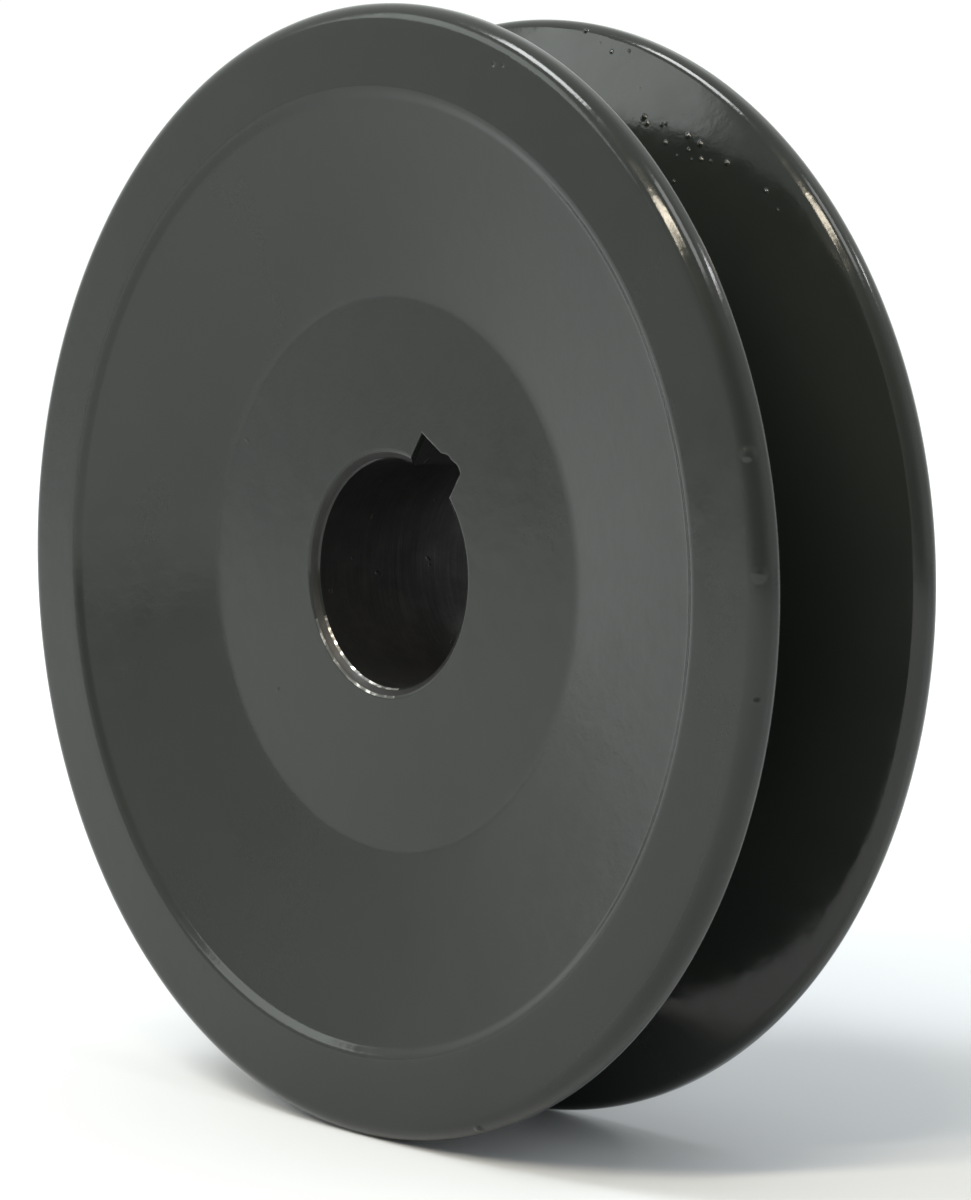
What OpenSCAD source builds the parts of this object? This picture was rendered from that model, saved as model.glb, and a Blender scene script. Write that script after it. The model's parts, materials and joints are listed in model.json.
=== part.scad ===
// Single-groove V-belt pulley for a keyed 5/8 in shaft: one iron casting and two set screws.
// Millimetres. The bore axis runs along Y, the recessed front face looks along -Y, and +Z is up.
// The origin is on the bore axis, in the middle plane of the belt groove.

/* [Rim] */
// Outside diameter over the two flanges
rim_d = 77.5; // [74:0.5:84]
// Width over the two flanges
face_w = 16.7; // [16:0.1:18]
// Radius of each flange's outer edge
flange_edge_r = 0.8; // [0.4:0.1:1]
// Radius of each flange's edge on the groove side
lip_edge_r = 0.6; // [0.3:0.1:0.8]

/* [Belt groove] */
// Groove width at the outside diameter
groove_top_w = 12.55; // [12:0.05:12.8]
// Angle between the two groove walls
groove_angle = 34; // [30:1:38]
// Depth of the groove
groove_depth = 12.4; // [10:0.1:12.5]
// Radius in the groove's bottom corners
groove_root_r = 1; // [0.5:0.1:1.5]

/* [Dished sides] */
// Diameter at which each side drops from its flat outer band
dish_d = 65.4; // [60:0.1:68]
// Height of the small step at the dish's edge
dish_step = 0.45; // [0.3:0.05:0.6]
// Radius of the step's upper edge
dish_edge_r = 0.3; // [0.1:0.05:0.3]
// Depth of the dish where it meets the hub
dish_depth = 3.4; // [2:0.1:4]
// Diameter of the flat hub face on the front
front_boss_d = 38.6; // [34:0.1:44]

/* [Hub] */
// Diameter of the hub that stands out at the rear
hub_d = 38.1; // [36:0.1:42]
// Length through the bore
hub_length = 25.4; // [25:0.1:30]
// Radius of the hub's rear edge
hub_edge_r = 1; // [0.5:0.1:1.5]
// Radius where the hub rises from the rear dish
hub_root_r = 2; // [1:0.1:2.5]

/* [Bore and keyway] */
// Bore diameter
bore_d = 15.875; // [14:0.005:17]
// Chamfer at each end of the bore, measured across the face
bore_chamfer_w = 0.6; // [0.3:0.1:1]
// Chamfer at each end of the bore, measured along the bore
bore_chamfer_l = 0.5; // [0.3:0.1:1]
// Width of the keyway
keyway_w = 4.76; // [4:0.01:5]
// Distance from the bore's axis to the floor of the keyway
keyway_floor = 10.2; // [9.5:0.05:10.5]
// Angle of the keyway from +X towards +Z
keyway_angle = 55.5; // [0:0.5:90]

/* [Set screws] */
// Diameter of the tapped holes in the hub
screw_hole_d = 7.94; // [6:0.01:8]
// Radial clearance between a screw and its hole
screw_clearance = 0.05; // [0.02:0.01:0.1]
// Length of each set screw
screw_length = 7.94; // [7:0.01:8]
// Distance from the hub's rear end to the screws' axes
screw_inset = 6; // [5.5:0.1:6]
// Angle from the keyway screw to the side screw
screw_spread = 90; // [65:5:120]
// Distance from the bore's axis to the point of the keyway screw at rest
keyway_screw_tip = 10.6; // [10.6:0.1:11]
// Distance from the bore's axis to the point of the side screw at rest
side_screw_tip = 8.5; // [8.5:0.1:11]
// Width across the flats of the hexagon sockets
socket_af = 3.97; // [3:0.01:4]
// Depth of the hexagon sockets
socket_depth = 3.8; // [2.5:0.1:4]
// Diameter of the cup point's rim
cup_d = 4.4; // [3.5:0.1:5]
// Chamfer at the socket end of a screw
screw_end_chamfer = 0.6; // [0.3:0.1:1]

/* [Hidden] */
$fn = 96;
cut = 1;

rim_r = rim_d / 2;
half_w = face_w / 2;
wall_slope = groove_angle / 2;
root_half_w = groove_top_w / 2 - groove_depth * tan(wall_slope);
groove_root = rim_r - groove_depth;

bore_r = bore_d / 2;
hub_r = hub_d / 2;
boss_r = front_boss_d / 2;
dish_r = dish_d / 2;
hub_front = -half_w + dish_depth;
hub_rear = hub_front + hub_length;
rear_floor = half_w - dish_depth;

screw_y = hub_rear - screw_inset;
screw_r = screw_hole_d / 2 - screw_clearance;
cup_r = cup_d / 2;

// Points of an arc in the (radius, axial) plane, from angle a0 to a1, where 0 points outwards.
function arc(centre, r, a0, a1, steps = 6) = [
    for (i = [0 : steps])
        let (a = a0 + (a1 - a0) * i / steps)
            centre + r * [cos(a), sin(a)]
];

// The same points mirrored to the other side of the groove's middle plane, in reverse order.
function mirrored(points) = [
    for (i = [len(points) - 1 : -1 : 0])
        [points[i][0], -points[i][1]]
];

// Distance from a corner to the tangent points of its rounding, where the corner's angle is
// a right angle plus the slope of the groove wall.
function wall_tangent(r) = r / tan((90 + wall_slope) / 2);

// Half of the rim's outline: the dish's edge, the flange's tip and the groove wall down to its root.
function flange_outline() = concat(
    [[dish_r, -half_w + dish_step]],
    arc([dish_r + dish_edge_r, -half_w + dish_edge_r], dish_edge_r, -180, -90),
    arc([rim_r - flange_edge_r, -half_w + flange_edge_r], flange_edge_r, -90, 0),
    arc([rim_r - lip_edge_r, -groove_top_w / 2 - wall_tangent(lip_edge_r)],
        lip_edge_r, 0, 90 - wall_slope),
    arc([groove_root + groove_root_r, -root_half_w + wall_tangent(groove_root_r)],
        groove_root_r, 270 - wall_slope, 180)
);

// The rounding between the sloping rear dish and the hub's side.
rear_slope = atan((dish_depth - dish_step) / (dish_r - boss_r));
hub_root_y = rear_floor + (hub_r - boss_r) * tan(rear_slope);

function hub_root_outline() = arc(
    [hub_r + hub_root_r, hub_root_y + hub_root_r * tan(rear_slope) + hub_root_r / cos(rear_slope)],
    hub_root_r, 270 + rear_slope, 180);

function casting_outline() = concat(
    [[bore_r, hub_front + bore_chamfer_l],
     [bore_r + bore_chamfer_w, hub_front],
     [boss_r, hub_front]],
    flange_outline(),
    mirrored(flange_outline()),
    hub_root_outline(),
    arc([hub_r - hub_edge_r, hub_rear - hub_edge_r], hub_edge_r, 0, 90),
    [[bore_r + bore_chamfer_w, hub_rear],
     [bore_r, hub_rear - bore_chamfer_l]]
);

// Turns a shape drawn along Z to lie along the bore, with Z towards the rear.
module along_bore() {
    rotate([-90, 0, 0]) children();
}

// Turns a shape drawn along Z to point radially outwards through the hub at the given angle.
module across_hub(angle) {
    translate([0, screw_y, 0])
        rotate([0, 90 - angle, 0])
            children();
}

module keyway_cut() {
    rotate([0, -keyway_angle, 0])
        translate([0, hub_front - cut, -keyway_w / 2])
            cube([keyway_floor, hub_length + 2 * cut, keyway_w]);
}

module sheave_casting() {
    color([0.24, 0.25, 0.24])
        difference() {
            along_bore() rotate_extrude() polygon(casting_outline());
            keyway_cut();
            for (angle = [keyway_angle, keyway_angle + screw_spread])
                across_hub(angle) cylinder(d = screw_hole_d, h = hub_r + cut);
        }
}

// Socket set screw along Z: the cup point at the bottom, the hexagon socket at the top.
module set_screw() {
    difference() {
        rotate_extrude()
            polygon([
                [0, 0],
                [cup_r, 0],
                [screw_r, screw_r - cup_r],
                [screw_r, screw_length - screw_end_chamfer],
                [screw_r - screw_end_chamfer, screw_length],
                [0, screw_length]
            ]);
        translate([0, 0, -cup_r / 2])
            cylinder(r1 = cup_r * 1.25, r2 = 0, h = cup_r * 1.25);
        translate([0, 0, screw_length - socket_depth])
            cylinder(d = socket_af / cos(30), h = socket_depth + cut, $fn = 6);
    }
}

module keyway_set_screw() {
    color([0.13, 0.13, 0.14])
        across_hub(keyway_angle)
            translate([0, 0, keyway_screw_tip]) set_screw();
}

module side_set_screw() {
    color([0.13, 0.13, 0.14])
        across_hub(keyway_angle + screw_spread)
            translate([0, 0, side_screw_tip]) set_screw();
}

sheave_casting();
keyway_set_screw();
side_set_screw();
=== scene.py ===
"""V-belt pulley: the looks of its iron casting and two set screws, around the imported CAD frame."""
import json
import math
from collections import namedtuple

import bmesh
import bpy
from mathutils import Matrix, Quaternion, Vector


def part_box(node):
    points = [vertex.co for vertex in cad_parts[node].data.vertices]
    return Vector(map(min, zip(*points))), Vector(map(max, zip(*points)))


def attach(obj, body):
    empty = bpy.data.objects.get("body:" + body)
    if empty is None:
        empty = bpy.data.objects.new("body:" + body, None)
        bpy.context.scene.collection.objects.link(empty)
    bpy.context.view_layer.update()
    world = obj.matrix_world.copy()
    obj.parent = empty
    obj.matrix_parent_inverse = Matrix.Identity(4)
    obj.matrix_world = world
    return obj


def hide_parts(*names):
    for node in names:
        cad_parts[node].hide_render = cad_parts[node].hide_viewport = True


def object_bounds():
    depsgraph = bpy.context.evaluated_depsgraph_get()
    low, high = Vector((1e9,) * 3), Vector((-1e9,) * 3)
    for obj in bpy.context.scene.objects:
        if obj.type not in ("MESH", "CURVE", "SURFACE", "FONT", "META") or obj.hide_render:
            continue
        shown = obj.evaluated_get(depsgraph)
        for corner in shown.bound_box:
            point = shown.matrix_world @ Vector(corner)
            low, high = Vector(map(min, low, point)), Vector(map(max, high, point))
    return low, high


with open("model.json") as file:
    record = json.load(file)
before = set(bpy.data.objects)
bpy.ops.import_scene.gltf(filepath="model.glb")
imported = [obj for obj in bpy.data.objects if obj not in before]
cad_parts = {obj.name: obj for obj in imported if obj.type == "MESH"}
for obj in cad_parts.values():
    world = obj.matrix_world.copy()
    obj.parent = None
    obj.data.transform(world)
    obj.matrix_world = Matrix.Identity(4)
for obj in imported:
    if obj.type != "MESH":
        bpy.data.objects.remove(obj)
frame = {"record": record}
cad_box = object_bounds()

MM = 0.001
RIGHT_ANGLE = math.pi / 2
MOUNTS = {m["name"]: m for m in frame["record"]["mounts"]}

# ---------------------------------------------------------------- sizes, in millimetres
# The frame gives the outside diameter, the rim's width, the hub's two faces and the bore.
RIM_R = cad_box[1][0] / MM
HALF_W = -cad_box[0][1] / MM
BORE_R = MOUNTS["bore"]["dims"]["r_mm"]
HUB_FRONT = MOUNTS["front_hub_face"]["pos_m"][1] / MM
HUB_REAR = MOUNTS["rear_hub_face"]["pos_m"][1] / MM

FLANGE_EDGE_R = 1.15
LIP_EDGE_R = 0.9
GROOVE_TOP_HALF = 6.275
GROOVE_SLOPE = math.radians(17)
GROOVE_DEPTH = 12.4
GROOVE_ROOT_R = 1.0

DISH_EDGE = 33.0
DISH_EDGE_R = 1.1
DISH_STEP = 0.36
DISH_STEP_RUN = 0.62
DISH_FOOT_R = 1.1
BOSS_R = 19.3
BOSS_BEND_R = 4.0
FACE_INNER = 12.0
HUB_R = 19.05
HUB_EDGE_R = 1.0
HUB_ROOT_R = 2.0

KEYWAY_HALF = 2.38
KEYWAY_FLOOR = 10.2
KEYWAY_ANGLE = math.radians(55.5)
CHAMFER_W = 0.6
CHAMFER_L = 0.5
EDGE_BREAK = 0.08         # the small break where the chamfer meets the hub's face
BREAK_MIDDLE = 0.4, 0.3   # its middle ring, in shares of it: along the bore and outwards
EDGE_SUPPORT = 0.1        # flat ring of the face beside that break
INNER_EDGE_ABOVE = 0.1    # the edge between chamfer and bore begins this far up the chamfer
INNER_EDGE_BELOW = 0.04   # and ends this far into the bore
CHIP_HEIGHT = 0.27
CHIP_LENGTH = 0.8
CHIP_RAGGEDNESS = 0.18
WORN_EDGE = (203, 275)  # degrees round the front of the bore where the chamfer's edges are bare

# Each set screw's CAD node, with its body and the direction it points out of the hub.
SCREWS = {
    "keyway_set_screw": ("keyway_screw", KEYWAY_ANGLE),
    "side_set_screw": ("side_screw", KEYWAY_ANGLE + RIGHT_ANGLE),
}
SCREW_Y = HUB_REAR - 6.0  # the holes' axes lie this far inside the hub's rear face
SCREW_R = 3.92
SCREW_LENGTH = 7.94
SCREW_END_CHAMFER = 0.6
CUP_R = 2.2
CUP_LAND = 0.18
CUP_LIP_DEPTH = 0.12       # the cup's hollow begins with a steep lip, this deep
CUP_LIP_RUN = 0.06         # and this far across
CUP_RINGS = ((1.05, 0.9), (1.2, 0.5))  # (depth, radius) of the hollow's rings beyond the lip
SOCKET_HALF = 1.985
SOCKET_DEPTH = 3.8
SOCKET_LEAD = 0.22
SOCKET_FOOT = 0.05, 0.94   # the hexagon's foot: how deep and how wide for the socket
DRILL_DEPTH = 0.55         # the drilled cone below the hexagon
DRILL_SHARE = 0.45         # its end's radius for the socket's half width
THREAD_PITCH = 25.4 / 18
SCREW_THREAD = 0.66        # depth of the screw's thread
HOLE_R = 3.97
HOLE_THREAD = 0.5          # depth of the hole's thread
HOLE_INNER = 6.0           # the hole runs between these two distances from the bore's axis
HOLE_OUTER = 20.5
HOLE_MOUTH = 18.2          # and widens from here outwards

AROUND = 288      # columns round the casting
WINDOW = 14       # columns on each side of the keyway's middle that its outline takes
WALL_COLUMNS = 7  # of those, the ones on each of its two side walls
CORNER_COLUMN = WINDOW - WALL_COLUMNS  # the column at the keyway's floor corner
BORE_RINGS = 20   # equal lengths that the rings divide the bore into
SCREW_AROUND = 72
WELD = 1e-4         # vertices nearer than this become one
SAME_HEIGHT = 1e-5  # vertices within this of an end belong to its ring
SHARP_ANGLE = math.radians(32)

# Beads, nibs and pinholes in the enamel: (angle from +X in degrees, stretch of the outline, place along it
# from 0 to 1, radius, height). A negative height is a pinhole. Most are a cluster near the top of the rear
# groove wall.
BEADS = [
    (77.5, "rear_lip", 0.12, 0.22, 0.12), (72.7, "rear_wall", 0.93, 0.16, 0.10),
    (70.4, "rear_wall", 0.97, 0.14, 0.07), (74.8, "rear_wall", 0.96, 0.10, 0.05),
    (63.9, "rear_wall", 0.67, 0.24, 0.17), (63.0, "rear_wall", 0.65, 0.18, 0.12),
    (61.0, "rear_wall", 0.69, 0.14, 0.07), (59.1, "rear_wall", 0.62, 0.15, 0.10),
    (60.6, "rear_wall", 0.71, 0.10, 0.05), (57.0, "rear_wall", 0.73, 0.20, 0.13),
    (55.0, "rear_wall", 0.74, 0.20, 0.13), (55.8, "rear_wall", 0.67, 0.14, 0.08),
    (54.6, "rear_wall", 0.64, 0.11, 0.06), (56.6, "rear_wall", 0.60, 0.10, 0.05),
    (53.6, "rear_wall", 0.68, 0.15, 0.10), (52.4, "rear_wall", 0.71, 0.12, 0.06),
    (50.6, "rear_wall", 0.77, 0.19, 0.13), (54.8, "rear_wall", 0.48, 0.14, 0.08),
    (44.6, "rear_wall", 0.84, 0.16, 0.08), (42.0, "rear_wall", 0.83, 0.12, 0.05),
    (66.5, "rear_wall", 0.80, 0.10, 0.04), (48.0, "rear_wall", 0.35, 0.12, 0.06),
    (13.3, "front_tip", 0.50, 0.62, 0.10), (2.6, "front_tip", 0.48, 0.60, 0.11),
    (-9.0, "front_tip", 0.60, 0.40, 0.09), (-70.0, "front_tip", 0.50, 0.46, 0.11),
    (66.0, "front_band", 0.80, 0.20, -0.06), (64.6, "front_band", 0.86, 0.14, -0.05),
    (-38.0, "rear_wall", 0.42, 0.12, 0.06), (-40.5, "rear_wall", 0.40, 0.10, 0.05),
    (-36.0, "rear_wall", 0.50, 0.11, 0.05), (152.0, "rear_tip", 0.40, 0.40, 0.10),
    (205.0, "rear_lip", 0.50, 0.24, 0.12), (118.0, "rear_dish", 0.60, 0.30, 0.07),
    (150.0, "front_boss", 0.90, 0.14, 0.05), (-144.0, "front_boss", 0.45, 0.14, 0.05),
]
BEAD_CUTS = 7
BEAD_REACH = 0.75  # how many face sizes round a bead are cut finer


# ---------------------------------------------------------------- outline of the casting
# A corner of the outline, rounded by an arc, and the straight line that follows it. name and line name the
# two stretches, and arc_steps and line_steps are the numbers of rings on them.
Corner = namedtuple("Corner", "name radius axial rounding arc_steps line line_steps")


def rounded(corners):
    """The path through the corners, as a list of (name, function of 0 to 1, steps)."""
    points = [Vector((c.radius, c.axial)) for c in corners]
    stretches = []
    start = points[0]
    for i in range(1, len(corners) - 1):
        corner = corners[i]
        way_in = (points[i] - points[i - 1]).normalized()
        way_out = (points[i + 1] - points[i]).normalized()
        turn = way_in.angle_signed(way_out)
        reach = corner.rounding * math.tan(abs(turn) / 2)
        arc_start = points[i] - way_in * reach
        stretches.append((corners[i - 1].line, straight(start, arc_start), corners[i - 1].line_steps))
        stretches.append((corner.name, bent(arc_start, way_in, corner.rounding, turn), corner.arc_steps))
        start = points[i] + way_out * reach
    stretches.append((corners[-2].line, straight(start, points[-1]), corners[-2].line_steps))
    return stretches


def straight(p, q):
    """A straight stretch from p to q."""
    return lambda t: p.lerp(q, t)


def bent(start, way, r, turn):
    """An arc of radius r from start, heading way and turning by turn (clockwise is positive)."""
    side = Vector((way.y, -way.x)) * (1 if turn > 0 else -1)
    centre = start + side * r

    def at(t):
        a = abs(turn) * t
        return centre - side * (r * math.cos(a)) + way * (r * math.sin(a))
    return at


def rim_corners(side):
    """Corners of one flange: from the dish's foot to the groove's floor on the front side (-1), and the
    other way round on the rear (1)."""
    root_half = GROOVE_TOP_HALF - GROOVE_DEPTH * math.tan(GROOVE_SLOPE)
    face = side * HALF_W
    flange = "front_" if side < 0 else "rear_"
    lines = [("step", 1), ("band", 7), ("land", 3), ("wall", 18)]
    corners = [
        ("foot", DISH_EDGE - DISH_STEP_RUN, face - side * DISH_STEP, DISH_FOOT_R, 5),
        ("step_edge", DISH_EDGE, face, DISH_EDGE_R, 6),
        ("tip", RIM_R, face, FLANGE_EDGE_R, 10),
        ("lip", RIM_R, side * GROOVE_TOP_HALF, LIP_EDGE_R, 8),
        ("root", RIM_R - GROOVE_DEPTH, side * root_half, GROOVE_ROOT_R, 6),
    ]
    if side < 0:
        lines.append(("floor", 6))
    else:
        corners.reverse()
        lines.reverse()
        lines.append(("dish", 12))
    return [
        Corner(flange + name, *rest, flange + line, line_steps)
        for (name, *rest), (line, line_steps) in zip(corners, lines)
    ]


def casting_outline():
    """From the hub's front face, over the rim and through the groove, to the hub's rear face."""
    dish_slope = (HUB_FRONT + HALF_W - DISH_STEP) / (DISH_EDGE - DISH_STEP_RUN - BOSS_R)
    rear_floor = -HUB_FRONT - (BOSS_R - HUB_R) * dish_slope
    return rounded([
        Corner("start", FACE_INNER, HUB_FRONT, 0, 0, "front_boss", 5),
        Corner("front_bend", BOSS_R, HUB_FRONT, BOSS_BEND_R, 4, "front_dish", 14),
        *rim_corners(-1),
        *rim_corners(1),
        Corner("hub_root", HUB_R, rear_floor, HUB_ROOT_R, 8, "hub_side", 20),
        Corner("hub_edge", HUB_R, HUB_REAR, HUB_EDGE_R, 7, "rear_boss", 5),
        Corner("end", FACE_INNER, HUB_REAR, 0, 0, "", 0),
    ])


OUTLINE = casting_outline()
# Each stretch's number, by its name.
STRETCH = {name: i for i, (name, _, _) in enumerate(OUTLINE)}


def outline_point(along):
    """(radius, axial) at a stretch's number plus a place from 0 to 1 along it."""
    i = min(int(along), len(OUTLINE) - 1)
    return OUTLINE[i][1](along - i)


def outline_normal(along):
    """The outline's outward normal at such a place, as (radius, axial)."""
    step = 0.01
    a = outline_point(max(along - step, 0.0))
    b = outline_point(min(along + step, len(OUTLINE)))
    way = (b - a).normalized()
    return Vector((way.y, -way.x))


def round_axis(turn, point):
    """A (radius, axial) point turned to the angle turn, counted from opposite the keyway."""
    a = KEYWAY_ANGLE + math.pi + turn
    return Vector((point[0] * math.cos(a), point[1], point[0] * math.sin(a)))


# ---------------------------------------------------------------- casting
def keyed_ring(circle_r, widen, depth):
    """One ring of the keyed bore as (radial, across) points round the axis: a circle with the keyway's
    slot, widened by widen. Its columns match those of the round outline. depth is from the front face."""
    half = KEYWAY_HALF + widen
    floor = KEYWAY_FLOOR + widen
    mouth = math.sqrt(circle_r ** 2 - half ** 2)
    ring = []
    for i in range(AROUND):
        j = i - AROUND // 2
        side = 1 if j > 0 else -1
        if abs(j) > WINDOW:
            a = j * 2 * math.pi / AROUND
            ring.append((circle_r * math.cos(a), circle_r * math.sin(a)))
        elif abs(j) >= CORNER_COLUMN:
            t = (WINDOW - abs(j)) / WALL_COLUMNS
            ring.append((mouth + (floor - mouth) * t, side * half))
        else:
            ring.append((floor + chip(j, depth), half * j / CORNER_COLUMN))
    return ring


def keyed_turn(column):
    """Where a column of the rings nearest to the bore stands, spread so as to pass the keyway's corners."""
    j = column - AROUND // 2
    even = 2 * math.pi / AROUND
    if abs(j) > WINDOW:
        return column * even
    past_corner = 0.3
    corner = math.asin((KEYWAY_HALF + past_corner) / FACE_INNER)
    if abs(j) <= CORNER_COLUMN:
        return math.pi + corner * j / CORNER_COLUMN
    rest = (abs(j) - CORNER_COLUMN) / WALL_COLUMNS
    return math.pi + math.copysign(corner + (WINDOW * even - corner) * rest, j)


def bore_profile():
    """(axial, circle radius, widening of the slot, surface) down the bore from the rear face. The surface
    is that of the band which follows."""
    outer_r = BORE_R + CHAMFER_W
    slope = CHAMFER_W / CHAMFER_L
    middle_out = EDGE_BREAK * BREAK_MIDDLE[1]
    end = [
        (0.0, outer_r + EDGE_BREAK + EDGE_SUPPORT, EDGE_BREAK + EDGE_SUPPORT, "painted"),
        (0.0, outer_r + EDGE_BREAK, EDGE_BREAK, "edge"),
        (EDGE_BREAK * BREAK_MIDDLE[0], outer_r + middle_out, middle_out, "edge"),
        (EDGE_BREAK, outer_r - EDGE_BREAK * slope, 0.0, "chamfer"),
        (CHAMFER_L * 0.5, outer_r - CHAMFER_W * 0.5, 0.0, "chamfer"),
        (CHAMFER_L - INNER_EDGE_ABOVE, BORE_R + INNER_EDGE_ABOVE * slope, 0.0, "edge"),
        (CHAMFER_L + INNER_EDGE_BELOW, BORE_R, 0.0, "bore"),
    ]
    length = HUB_REAR - HUB_FRONT
    clear = length - 2 * end[-1][0]
    middle = [(end[-1][0] + clear * k / BORE_RINGS, BORE_R, 0.0, "bore") for k in range(1, BORE_RINGS)]
    surfaces = [row[3] for row in end]
    front = [(length - row[0], row[1], row[2]) for row in reversed(end)]
    front = [(*row, surface) for row, surface in zip(front, surfaces[-2::-1] + ["painted"])]
    return [(HUB_REAR - row[0], *row[1:]) for row in end + middle + front]


def bore_surface(surface, column, at_front):
    """Material slot of a face of the bore. The bore and its round chamfer are bare iron. Edges are worn
    bright at the front's lower left and on the keyway's floor and one wall, and the rest is enamelled."""
    if surface == "bore":
        return BORE_SLOT
    j = column - AROUND // 2
    if -WINDOW <= j < WINDOW:
        return EDGE_SLOT if surface == "edge" and j < CORNER_COLUMN else ENAMEL_SLOT
    if surface == "chamfer":
        return BORE_SLOT
    angle = (math.degrees(KEYWAY_ANGLE) + j * 360 / AROUND) % 360
    if at_front and surface == "edge" and WORN_EDGE[0] < angle < WORN_EDGE[1]:
        return EDGE_SLOT
    return ENAMEL_SLOT


def chip(j, depth):
    """How far the keyway's floor is broken away near the front face, by column and depth from it. The chip
    rises from the floor's middle (column 0) and falls again at its corner."""
    if depth > CHIP_LENGTH or j >= 0:
        return 0.0
    ragged = 1 + CHIP_RAGGEDNESS * math.sin(j * 2.3)
    rise = -j / 1.2
    fall = (CORNER_COLUMN + 0.4 + j) / 1.4
    return CHIP_HEIGHT * ragged * min(1.0, rise, fall) * (1 - depth / CHIP_LENGTH)


def add_outline_rings(bm, turn_of, along_of):
    """The rings of vertices along the casting's outline."""
    rings = []
    for i, (_, at, steps) in enumerate(OUTLINE):
        last = i == len(OUTLINE) - 1
        for k in range(steps + 1 if last else steps):
            ring = []
            beside_bore = (i == 0 and k == 0) or (last and k == steps)
            for column in range(AROUND):
                turn = keyed_turn(column) if beside_bore else column * 2 * math.pi / AROUND
                v = bm.verts.new(round_axis(turn, at(k / steps)))
                v[turn_of] = turn
                v[along_of] = i + k / steps
                ring.append(v)
            rings.append(ring)
    return rings


def add_bore_rings(bm, along_of):
    """The rings of vertices down the keyed bore, from the rear, and the surface that follows each."""
    radial = Vector((math.cos(KEYWAY_ANGLE), 0, math.sin(KEYWAY_ANGLE)))
    across = Vector((-math.sin(KEYWAY_ANGLE), 0, math.cos(KEYWAY_ANGLE)))
    rings = []
    surfaces = []
    for y, circle_r, widen, surface in bore_profile():
        ring = []
        surfaces.append(surface)
        for out, side in keyed_ring(circle_r, widen, y - HUB_FRONT):
            v = bm.verts.new(radial * out + across * side + Vector((0, y, 0)))
            v[along_of] = -1
            ring.append(v)
        rings.append(ring)
    return rings, surfaces


def build_casting():
    """The whole casting as one closed skin: its outline turned round the axis, joined to the keyed bore."""
    bm = bmesh.new()
    turn_of = bm.verts.layers.float.new("turn")
    along_of = bm.verts.layers.float.new("along")
    rings = add_outline_rings(bm, turn_of, along_of)
    bore_first = len(rings)
    bore_rings, surfaces = add_bore_rings(bm, along_of)
    rings += bore_rings
    bore_last = len(rings) - 1
    for k, ring in enumerate(rings):
        after = rings[(k + 1) % len(rings)]
        for i in range(AROUND):
            j = (i + 1) % AROUND
            face = bm.faces.new((ring[i], ring[j], after[j], after[i]))
            if bore_first <= k < bore_last:
                surface = surfaces[k - bore_first]
                face.material_index = bore_surface(surface, i, k > (bore_first + bore_last) / 2)
    bmesh.ops.recalc_face_normals(bm, faces=bm.faces)
    add_beads(bm, turn_of, along_of)
    return bm


def add_beads(bm, turn_of, along_of):
    """Refines the mesh round each bead, puts the new vertices on the true surface and lifts the beads."""
    places = []
    for angle, name, t, r, height in BEADS:
        along = STRETCH[name] + t
        turn = (math.radians(angle) - KEYWAY_ANGLE - math.pi) % (2 * math.pi)
        places.append((round_axis(turn, outline_point(along)), r, height))
    near = set()
    for face in bm.faces:
        centre = face.calc_center_median()
        size = max(e.calc_length() for e in face.edges)
        if any((centre - place).length < r + size * BEAD_REACH for place, r, _ in places):
            near.update(face.edges)
    bmesh.ops.subdivide_edges(bm, edges=list(near), cuts=BEAD_CUTS, use_grid_fill=True)
    many = [f for f in bm.faces if len(f.verts) > 4]
    bmesh.ops.triangulate(bm, faces=many)
    for v in bm.verts:
        if v[along_of] < 0:
            continue
        point = outline_point(v[along_of])
        v.co = round_axis(v[turn_of], point)
        for place, r, height in places:
            d = (v.co - place).length / r
            if d < 1:
                normal = outline_normal(v[along_of])
                v.co = round_axis(v[turn_of], point + normal * (height * (1 - d * d) ** 2))
                v.co.y = max(v.co.y, -HALF_W)
                break


def finished(bm, name, body, materials, nodes):
    """Scales the mesh to metres, makes it an object, and hangs it on its body if it has one."""
    bm.transform(Matrix.Scale(MM, 4))
    mesh = bpy.data.meshes.new(name)
    bm.to_mesh(mesh)
    bm.free()
    for material in materials:
        mesh.materials.append(material)
    piece = bpy.data.objects.new(name, mesh)
    bpy.context.scene.collection.objects.link(piece)
    mesh.shade_smooth()
    mesh.set_sharp_from_angle(angle=SHARP_ANGLE)
    if body:
        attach(piece, body)
        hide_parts(*nodes)
    return piece


# ---------------------------------------------------------------- threads
# One turn of the thread's profile: (share of the pitch, depth from 0 on the crest to 1 at the root).
THREAD_SHAPE = [(0.0, 0.0), (0.125, 0.0), (0.4375, 1.0), (0.6875, 1.0)]


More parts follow.
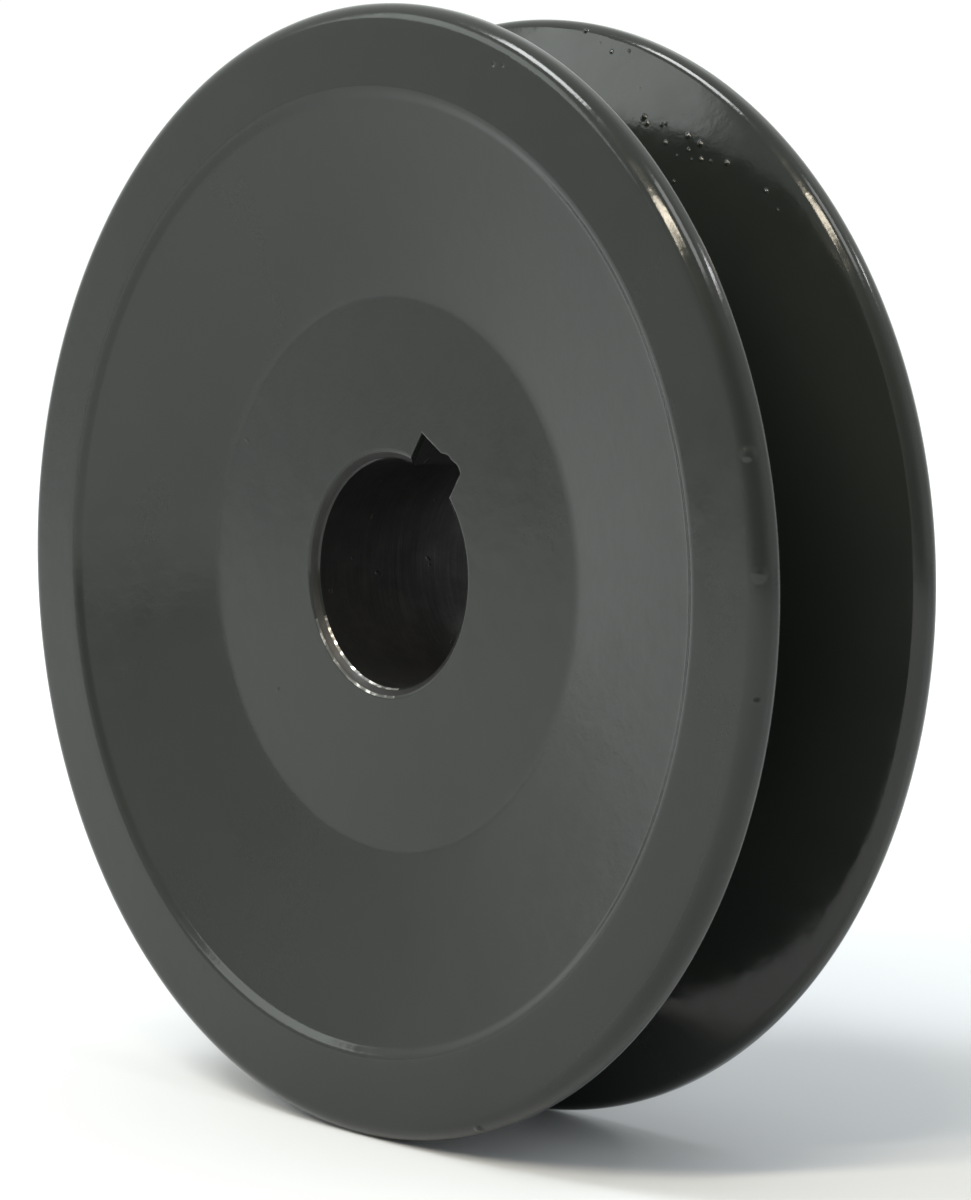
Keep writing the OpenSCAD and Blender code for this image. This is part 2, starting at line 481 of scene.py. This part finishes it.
def threaded_shell(bm, z0, z1, radius_at):
    """A threaded surface along Z from z0 to z1. radius_at takes the height and the thread's depth, 0 on a
    crest and 1 at a root. Returns the bottom and top rings of vertices."""
    # Rounded up, and a turn more at each end.
    turns = int((z1 - z0) / THREAD_PITCH) + 3
    rows = [(k, phase, depth) for k in range(turns) for phase, depth in THREAD_SHAPE]
    per_turn = len(THREAD_SHAPE)
    columns = []
    for column in range(SCREW_AROUND + 1):
        share = column / SCREW_AROUND
        a = 2 * math.pi * share
        verts = []
        for k, phase, depth in rows:
            z = min(max(z0 + (k - 1 + phase + share) * THREAD_PITCH, z0), z1)
            r = radius_at(z, depth if z0 < z < z1 else 1.0)
            verts.append(Vector((r * math.cos(a), r * math.sin(a), z)))
        columns.append(verts)
    made = [[bm.verts.new(co) for co in verts] for verts in columns[:-1]]
    # After a full turn each row meets the one that is a pitch further on.
    top = len(rows) - 1
    made.append([made[0][min(k + per_turn, top)] for k in range(len(rows))])
    for a, b in zip(made, made[1:]):
        for k in range(top):
            corners = [a[k], b[k], b[k + 1], a[k + 1]]
            if len(set(corners)) == 4:
                bm.faces.new(corners)
    bmesh.ops.remove_doubles(bm, verts=bm.verts, dist=WELD)
    ends = []
    for z in (z0, z1):
        ring = [v for v in bm.verts if abs(v.co.z - z) < SAME_HEIGHT and v.is_boundary]
        ring.sort(key=lambda v: math.atan2(v.co.y, v.co.x) % (2 * math.pi))
        ends.append(ring)
    return ends


def join_rings(bm, a, b):
    """A band of faces between two rings."""
    for i in range(len(a)):
        j = (i + 1) % len(a)
        bm.faces.new((a[i], a[j], b[j], b[i]))


def ring_at(bm, z, radius_of):
    """A ring of vertices at height z, where radius_of gives the radius at each angle."""
    ring = []
    for i in range(SCREW_AROUND):
        a = 2 * math.pi * i / SCREW_AROUND
        r = radius_of(a)
        ring.append(bm.verts.new((r * math.cos(a), r * math.sin(a), z)))
    return ring


def hexagon(half):
    """Radius of a hexagon at an angle, from half its width across flats."""
    def radius(a):
        return half / math.cos((a + math.pi / 6) % (math.pi / 3) - math.pi / 6)
    return radius


def join_all(bm, rings, flip=False):
    """Joins each ring to the next and closes the last one."""
    for a, b in zip(rings, rings[1:]):
        join_rings(bm, *((b, a) if flip else (a, b)))
    bm.faces.new(rings[-1])


def add_socket(bm, top):
    """The socket end: a flat face, a lead-in chamfer, hexagon walls and a drilled bottom."""
    foot_depth, foot_share = SOCKET_FOOT
    walls = [
        (0.0, SOCKET_HALF + SOCKET_LEAD),
        (SOCKET_LEAD, SOCKET_HALF),
        (SOCKET_DEPTH, SOCKET_HALF),
        (SOCKET_DEPTH + foot_depth, SOCKET_HALF * foot_share),
    ]
    rings = [top] + [ring_at(bm, SCREW_LENGTH - depth, hexagon(half)) for depth, half in walls]
    drilled = SCREW_LENGTH - SOCKET_DEPTH - DRILL_DEPTH
    rings.append(ring_at(bm, drilled, lambda a: SOCKET_HALF * DRILL_SHARE))
    join_all(bm, rings)


def add_cup(bm, bottom):
    """The cup point: a narrow land, then a conical hollow."""
    rings = [bottom]
    inner = CUP_R - CUP_LAND
    for z, r in ((0.0, inner), (CUP_LIP_DEPTH, inner - CUP_LIP_RUN), *CUP_RINGS):
        rings.append(ring_at(bm, z, lambda a, r=r: r))
    join_all(bm, rings, flip=True)


def build_screw():
    """A cup-point socket set screw along Z, with its point at 0."""
    bm = bmesh.new()
    end_r = SCREW_R - SCREW_END_CHAMFER

    def radius_at(z, depth):
        thread = SCREW_R - SCREW_THREAD * depth
        return min(thread, CUP_R + z, end_r + SCREW_LENGTH - z)
    bottom, top = threaded_shell(bm, 0.0, SCREW_LENGTH, radius_at)
    add_socket(bm, top)
    add_cup(bm, bottom)
    bmesh.ops.recalc_face_normals(bm, faces=bm.faces)
    return bm


def build_hole_cutter():
    """The space of a tapped hole along Z: a thread and a countersunk mouth."""
    bm = bmesh.new()

    def radius_at(z, depth):
        thread = HOLE_R + HOLE_THREAD * (1 - depth)
        return max(thread, HOLE_R + z - HOLE_MOUTH)
    bottom, top = threaded_shell(bm, HOLE_INNER, HOLE_OUTER, radius_at)
    bm.faces.new(bottom)
    bm.faces.new(top)
    bmesh.ops.recalc_face_normals(bm, faces=bm.faces)
    for face in bm.faces:
        face.material_index = THREAD_SLOT
    return bm


def across_hub(angle):
    """Turns what was drawn along Z to point outwards through the hub at the given angle."""
    return Matrix.Translation((0, SCREW_Y, 0)) @ Matrix.Rotation(RIGHT_ANGLE - angle, 4, "Y")


# ---------------------------------------------------------------- materials
def new_material(name):
    """A material with its nodes, links, shader and object coordinates."""
    material = bpy.data.materials.new(name)
    material.use_nodes = True
    nodes = material.node_tree.nodes
    coords = nodes.new("ShaderNodeTexCoord").outputs["Object"]
    return material, nodes, material.node_tree.links, nodes["Principled BSDF"], coords


def noise(nodes, links, coords, scale, detail=4.0, roughness=0.55, stretch=None):
    """A noise texture's Fac output. scale is in features per metre, and stretch multiplies it per axis."""
    if stretch:
        mapping = nodes.new("ShaderNodeMapping")
        mapping.inputs["Scale"].default_value = stretch
        links.new(coords, mapping.inputs["Vector"])
        coords = mapping.outputs["Vector"]
    texture = nodes.new("ShaderNodeTexNoise")
    texture.inputs["Scale"].default_value = scale
    texture.inputs["Detail"].default_value = detail
    texture.inputs["Roughness"].default_value = roughness
    links.new(coords, texture.inputs["Vector"])
    return texture.outputs["Fac"]


def ramp(nodes, links, value, low, high, colours):
    """Maps value from low to high onto evenly spaced colours."""
    node = nodes.new("ShaderNodeValToRGB")
    elements = node.color_ramp.elements
    while len(elements) < len(colours):
        elements.new(0.5)
    for i, (element, colour) in enumerate(zip(elements, colours)):
        element.position = low + (high - low) * i / (len(colours) - 1)
        element.color = (*colour, 1.0)
    links.new(value, node.inputs["Fac"])
    return node.outputs["Color"]


def spread(nodes, links, value, low, high, to_low, to_high):
    """Maps value from low to high onto to_low to to_high, without going past them."""
    node = nodes.new("ShaderNodeMapRange")
    for name, number in (("From Min", low), ("From Max", high), ("To Min", to_low), ("To Max", to_high)):
        node.inputs[name].default_value = number
    links.new(value, node.inputs["Value"])
    return node.outputs["Result"]


def bump(nodes, links, height, distance, strength=1.0, after=None):
    """A bump's Normal output. distance is in metres, and after is the normal it adds to."""
    node = nodes.new("ShaderNodeBump")
    node.inputs["Distance"].default_value = distance
    node.inputs["Strength"].default_value = strength
    links.new(height, node.inputs["Height"])
    if after is not None:
        links.new(after, node.inputs["Normal"])
    return node.outputs["Normal"]


def enamel_material():
    """Dark green-grey enamel over cast iron: soft blotches, orange peel and a fine grain."""
    material, nodes, links, shader, coords = new_material("green_grey_enamel")
    blotches = noise(nodes, links, coords, 55, 3.0, 0.5)
    colour = ramp(nodes, links, blotches, 0.3, 0.7,
                  [(0.0118, 0.0139, 0.0124), (0.0138, 0.0161, 0.0140), (0.0148, 0.0171, 0.0149)])
    links.new(colour, shader.inputs["Base Color"])
    patches = noise(nodes, links, coords, 380, 5.0, 0.6)
    links.new(spread(nodes, links, patches, 0.3, 0.7, 0.08, 0.19), shader.inputs["Roughness"])
    shader.inputs["IOR"].default_value = 1.43
    peel = noise(nodes, links, coords, 420, 4.0, 0.55)
    peeled = bump(nodes, links, peel, 0.00004, 0.6)
    grain = noise(nodes, links, coords, 2600, 3.0, 0.6)
    links.new(bump(nodes, links, grain, 0.000006, 0.5, peeled), shader.inputs["Normal"])
    return material


def bore_material():
    """Bored iron: fine turning marks round the bore, its colour kept near black as painted shade of the
    deep bore.
    """
    material, nodes, links, shader, coords = new_material("bored_iron")
    marks = noise(nodes, links, coords, 1500, 3.0, 0.7, stretch=(0.06, 1.0, 0.06))
    stains = noise(nodes, links, coords, 300, 5.0, 0.65)
    # Near-black colours: the iron's tone with the shade inside the bore painted into it.
    colour = ramp(nodes, links, stains, 0.35, 0.7,
                  [(0.010, 0.010, 0.0095), (0.016, 0.0158, 0.015), (0.028, 0.027, 0.026)])
    links.new(colour, shader.inputs["Base Color"])
    shader.inputs["Metallic"].default_value = 0.5
    links.new(spread(nodes, links, stains, 0.3, 0.7, 0.55, 0.38), shader.inputs["Roughness"])
    turned = bump(nodes, links, marks, 0.00003, 0.8)
    pores = noise(nodes, links, coords, 1100, 1.0, 0.4)
    pitted = spread(nodes, links, pores, 0.75, 0.79, 1.0, 0.0)
    links.new(bump(nodes, links, pitted, 0.00006, 0.9, turned), shader.inputs["Normal"])
    return material


def edge_material():
    """Broken edges where the enamel is worn through to bright iron in a ragged line."""
    material, nodes, links, shader, coords = new_material("worn_edge_iron")
    wear = noise(nodes, links, coords, 1300, 5.0, 0.65)
    colour = ramp(nodes, links, wear, 0.46, 0.60,
                  [(0.03, 0.032, 0.03), (0.12, 0.118, 0.11), (0.46, 0.45, 0.43)])
    links.new(colour, shader.inputs["Base Color"])
    links.new(spread(nodes, links, wear, 0.48, 0.58, 0.0, 1.0), shader.inputs["Metallic"])
    links.new(spread(nodes, links, wear, 0.4, 0.65, 0.40, 0.28), shader.inputs["Roughness"])
    scored = noise(nodes, links, coords, 1900, 3.0, 0.6, stretch=(0.3, 1.0, 0.3))
    links.new(bump(nodes, links, scored, 0.00004, 0.9), shader.inputs["Normal"])
    return material


def thread_material():
    """Cut threads in the hub: bare grey iron with torn flanks."""
    material, nodes, links, shader, coords = new_material("tapped_iron")
    torn = noise(nodes, links, coords, 1100, 5.0, 0.65)
    colour = ramp(nodes, links, torn, 0.35, 0.65,
                  [(0.07, 0.066, 0.06), (0.16, 0.155, 0.148), (0.3, 0.295, 0.285)])
    links.new(colour, shader.inputs["Base Color"])
    shader.inputs["Metallic"].default_value = 0.85
    links.new(spread(nodes, links, torn, 0.3, 0.7, 0.5, 0.3), shader.inputs["Roughness"])
    links.new(bump(nodes, links, torn, 0.00003, 0.7), shader.inputs["Normal"])
    return material


def screw_material():
    """Black oxide on alloy steel, rubbed brighter in patches, with a film of oil."""
    material, nodes, links, shader, coords = new_material("black_oxide_steel")
    rubbed = noise(nodes, links, coords, 700, 5.0, 0.65)
    colour = ramp(nodes, links, rubbed, 0.4, 0.72,
                  [(0.018, 0.018, 0.02), (0.03, 0.03, 0.033), (0.11, 0.108, 0.105)])
    links.new(colour, shader.inputs["Base Color"])
    shader.inputs["Metallic"].default_value = 0.6
    links.new(spread(nodes, links, rubbed, 0.3, 0.7, 0.42, 0.28), shader.inputs["Roughness"])
    shader.inputs["Coat Weight"].default_value = 0.3
    shader.inputs["Coat Roughness"].default_value = 0.15
    grain = noise(nodes, links, coords, 2200, 3.0, 0.6)
    links.new(bump(nodes, links, grain, 0.00001, 0.6), shader.inputs["Normal"])
    return material


def floor_material():
    """Matt and pale, glowing more and more towards the backdrop so that it runs into it."""
    material, nodes, links, shader, coords = new_material("pale_floor")
    tone = noise(nodes, links, coords, 6, 2.0, 0.5)
    colour = ramp(nodes, links, tone, 0.3, 0.7, [(0.65, 0.67, 0.70), (0.665, 0.685, 0.715)])
    links.new(colour, shader.inputs["Base Color"])
    shader.inputs["Roughness"].default_value = 1.0
    shader.inputs["Specular IOR Level"].default_value = 0.1
    behind = nodes.new("ShaderNodeVectorMath")
    behind.operation = "DOT_PRODUCT"
    behind.inputs[1].default_value = BACKDROP_DIRECTION
    links.new(coords, behind.inputs[0])
    glow = spread(nodes, links, behind.outputs["Value"], *GLOW_RANGE, 0.0, FAR_FLOOR_GLOW)
    shader.inputs["Emission Color"].default_value = (1, 1, 1, 1)
    links.new(glow, shader.inputs["Emission Strength"])
    return material


# ---------------------------------------------------------------- pieces
# The casting's material slots, in the order of the list in make_casting.
ENAMEL_SLOT, BORE_SLOT, EDGE_SLOT, THREAD_SLOT = range(4)


def make_casting():
    """The casting, with the two tapped holes cut out of it."""
    materials = [enamel_material(), bore_material(), edge_material(), thread_material()]
    casting = finished(build_casting(), "sheave", "sheave", materials, ["sheave_casting"])
    cutters = []
    for _, angle in SCREWS.values():
        bm = build_hole_cutter()
        bm.transform(across_hub(angle))
        cutter = finished(bm, "hole_cutter", None, materials, [])
        cut = casting.modifiers.new("tapped_hole", "BOOLEAN")
        cut.object = cutter
        cut.solver = "EXACT"
        cutters.append(cutter)
    bpy.context.view_layer.update()
    evaluated = casting.evaluated_get(bpy.context.evaluated_depsgraph_get())
    mesh = bpy.data.meshes.new_from_object(evaluated)
    casting.modifiers.clear()
    casting.data = mesh
    mesh.name = "sheave"
    for cutter in cutters:
        bpy.data.objects.remove(cutter)
    mesh.shade_smooth()
    mesh.set_sharp_from_angle(angle=SHARP_ANGLE)
    return casting


def make_screws():
    """The two set screws, each where its CAD node is."""
    material = screw_material()
    for node, (body, angle) in SCREWS.items():
        low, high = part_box(node)
        middle = (low + high) / 2 / MM
        bm = build_screw()
        tip = math.hypot(middle.x, middle.z) - SCREW_LENGTH / 2
        bm.transform(across_hub(angle) @ Matrix.Translation((0, 0, tip)))
        name = node.replace("set_screw", "socket_screw")
        finished(bm, name, body, [material], [node])


# ---------------------------------------------------------------- stage
CAMERA_AZIMUTH = math.radians(48.36)
CAMERA_ELEVATION = math.radians(3.68)
CAMERA_DISTANCE = 223.8 * MM
CAMERA_AIM = Vector((2.2, 2.3, -2.0)) * MM
CAMERA_LENS = 95.7
BACKDROP_DIRECTION = (-0.745, 0.663, -0.064)
BACKDROP_RADIANCE = 1.06
ROOM_RADIANCE = 0.85
CAMERA_SIDE_RADIANCE = 0.3
FAR_FLOOR_GLOW = 0.5

FLOOR_HALF = 4.0          # metres
GLOW_RANGE = 0.08, 0.6    # metres towards the backdrop over which the floor's glow sets in
# The backdrop, the room and the camera's side run into each other over these cosines of the angle from the
# backdrop's direction.
CAMERA_SIDE_RANGE = -0.95, -0.35
BACKDROP_RANGE = -0.1, 0.8

# Softboxes: name, direction from the pulley, distance, size, roll in degrees, radiance and colour.
LIGHTS = [
    ("window_left", (-0.60, -0.66, 0.44), 1.2, (0.5, 0.45), 0, 2.6, (0.94, 1.0, 0.97)),
    ("ceiling", (-0.26, -0.42, 0.87), 1.0, (0.32, 0.26), 0, 16.0, (0.97, 1.0, 1.0)),
    ("lamp_front", (0.17, -0.67, 0.72), 1.4, (0.12, 1.0), -50, 36.0, (1.0, 0.9, 0.72)),
    ("lamp_rear", (0.36, 0.66, 0.65), 1.4, (0.20, 0.10), 0, 12.0, (1.0, 1.0, 1.0)),
    ("lamp_top", (0.47, 0.05, 0.885), 1.2, (0.4, 0.4), 0, 4.5, (1.0, 1.0, 1.0)),
]


def make_camera():
    """The camera, looking at the front from its right and a little from above."""
    flat = math.cos(CAMERA_ELEVATION)
    x = math.sin(CAMERA_AZIMUTH) * flat
    y = -math.cos(CAMERA_AZIMUTH) * flat
    back = Vector((x, y, math.sin(CAMERA_ELEVATION)))
    data = bpy.data.cameras.new("camera")
    data.lens = CAMERA_LENS
    data.clip_start = 0.01
    camera = bpy.data.objects.new("camera", data)
    camera.location = CAMERA_AIM + back * CAMERA_DISTANCE
    camera.rotation_euler = (-back).to_track_quat("-Z", "Y").to_euler()
    bpy.context.scene.collection.objects.link(camera)
    bpy.context.scene.camera = camera


def make_floor():
    """A wide floor under the pulley's rim."""
    bm = bmesh.new()
    bmesh.ops.create_grid(bm, x_segments=8, y_segments=8, size=FLOOR_HALF)
    mesh = bpy.data.meshes.new("floor")
    bm.to_mesh(mesh)
    bm.free()
    mesh.materials.append(floor_material())
    floor = bpy.data.objects.new("floor", mesh)
    floor.location.z = cad_box[0][2]
    bpy.context.scene.collection.objects.link(floor)


def make_world():
    """A white backdrop behind the pulley, a dimmer room beside it and a darker one behind the camera."""
    world = bpy.data.worlds.new("studio")
    world.use_nodes = True
    nodes = world.node_tree.nodes
    links = world.node_tree.links
    facing = nodes.new("ShaderNodeVectorMath")
    facing.operation = "DOT_PRODUCT"
    facing.inputs[1].default_value = BACKDROP_DIRECTION
    links.new(nodes.new("ShaderNodeTexCoord").outputs["Generated"], facing.inputs[0])
    cosine = facing.outputs["Value"]
    beside = spread(nodes, links, cosine, *CAMERA_SIDE_RANGE, CAMERA_SIDE_RADIANCE, ROOM_RADIANCE)
    strength = spread(nodes, links, cosine, *BACKDROP_RANGE, ROOM_RADIANCE, BACKDROP_RADIANCE)
    links.new(beside, strength.node.inputs["To Min"])
    background = nodes["Background"]
    background.inputs["Color"].default_value = (0.965, 1.0, 0.975, 1)
    links.new(strength, background.inputs["Strength"])
    bpy.context.scene.world = world


def make_lights():
    """The softboxes, each facing the pulley. An area light's energy is worked out from its radiance."""
    for name, direction, distance, size, roll, radiance, colour in LIGHTS:
        data = bpy.data.lights.new(name, "AREA")
        data.shape = "RECTANGLE"
        data.size, data.size_y = size
        data.energy = radiance * math.pi * size[0] * size[1]
        data.color = colour
        light = bpy.data.objects.new(name, data)
        way = Vector(direction).normalized()
        light.location = way * distance
        facing = (-way).to_track_quat("-Z", "Y")
        light.rotation_euler = (facing @ Quaternion((0, 0, 1), math.radians(roll))).to_euler()
        bpy.context.scene.collection.objects.link(light)


make_camera()
make_casting()
make_screws()
make_floor()
make_world()
make_lights()
bpy.context.scene.view_settings.view_transform = "Standard"
